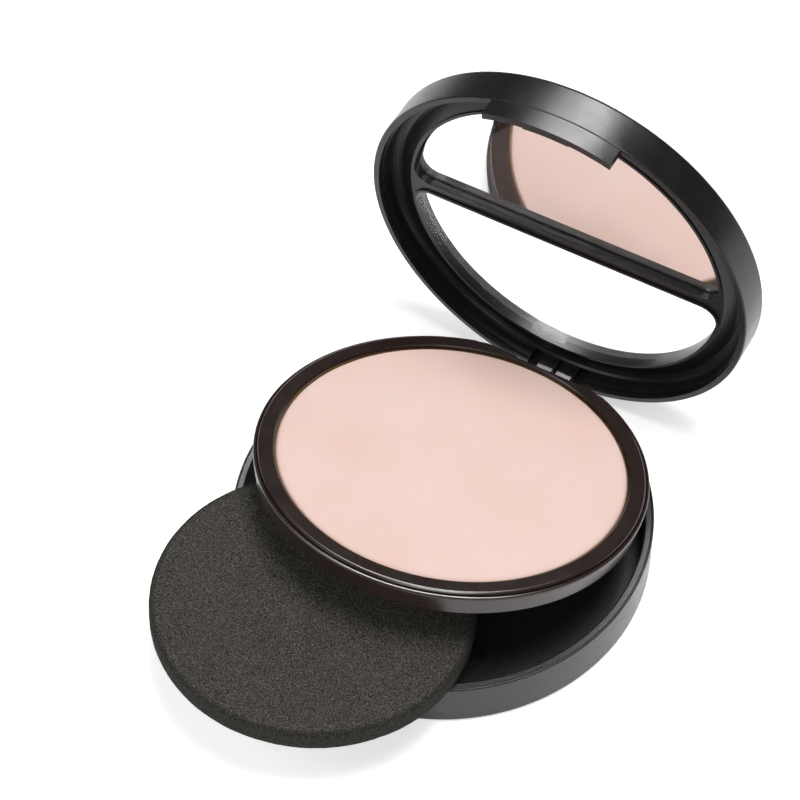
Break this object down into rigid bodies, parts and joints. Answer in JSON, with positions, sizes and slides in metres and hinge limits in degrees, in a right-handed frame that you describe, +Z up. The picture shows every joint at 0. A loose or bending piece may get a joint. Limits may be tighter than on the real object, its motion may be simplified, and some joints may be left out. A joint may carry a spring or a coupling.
{
  "type": "powder compact",
  "caption": "Round pressed-powder compact with a lift-up pan tray, a sponge well below it and a hinged lid with a mirror, a clear window and a snap clasp.",
  "frame": {"origin": "centre of the base's underside", "axes": "+Z up, +Y from the clasp towards the hinge, hinge axis along X"},
  "size_m": [0.07, 0.1008, 0.0702],
  "materials": {
    "case_outer": "satin moulded plastic",
    "case_inner": "fine-grained moulded plastic",
    "pin_steel": "drawn steel wire",
    "tray_plastic": "satin moulded plastic",
    "glue": "dull, slightly yellow glue",
    "pan_metal": "gold-lacquered sheet",
    "powder": "soft matte pressed powder",
    "lid_outer": "satin-gloss moulded plastic",
    "lid_inner": "satin moulded plastic",
    "clear_glass": "clear polished sheet glass",
    "silvering": "mirror coating",
    "tape": "white double-sided foam tape",
    "clear_plastic": "clear polished acrylic",
    "clasp_plastic": "satin-gloss moulded plastic",
    "foam": "fine-pored foam"
  },
  "bodies": {
    "base": {"base_shell": "case_outer", "base_liner": "case_inner", "hinge_pin": "pin_steel"},
    "tray": {"tray_frame": "tray_plastic", "pan_adhesive": "glue", "powder_pan": "pan_metal", "powder_cake": "powder"},
    "lid": {"lid_shell": "lid_outer", "lid_bezel": "lid_inner", "mirror_glass": "clear_glass", "mirror_silvering": "silvering", "mirror_tape": "tape", "window_lens": "clear_plastic", "clasp_tab": "clasp_plastic"},
    "sponge": {"sponge": "foam"}
  },
  "joints": [
    {"name": "tray_hinge", "type": "hinge", "parent": "base", "child": "tray", "pos_m": [0, 0.03225, 0.0026], "axis": [-1, 0, 0], "range_deg": [-15, 0]},
    {"name": "lid_hinge", "type": "hinge", "parent": "tray", "child": "lid", "pos_m": [0, 0.03225, 0.0026], "axis": [-1, 0, 0], "range_deg": [-72.2, 5]},
    {"name": "sponge_slide", "type": "slide", "parent": "base", "child": "sponge", "axis": [-0.2505, -0.9621, 0.108], "range_m": [0, 0.0751]}
  ],
  "couplings": [
    {"joint": "sponge_slide", "follows": "tray_hinge", "m_per_rad": -0.28648}
  ]
}
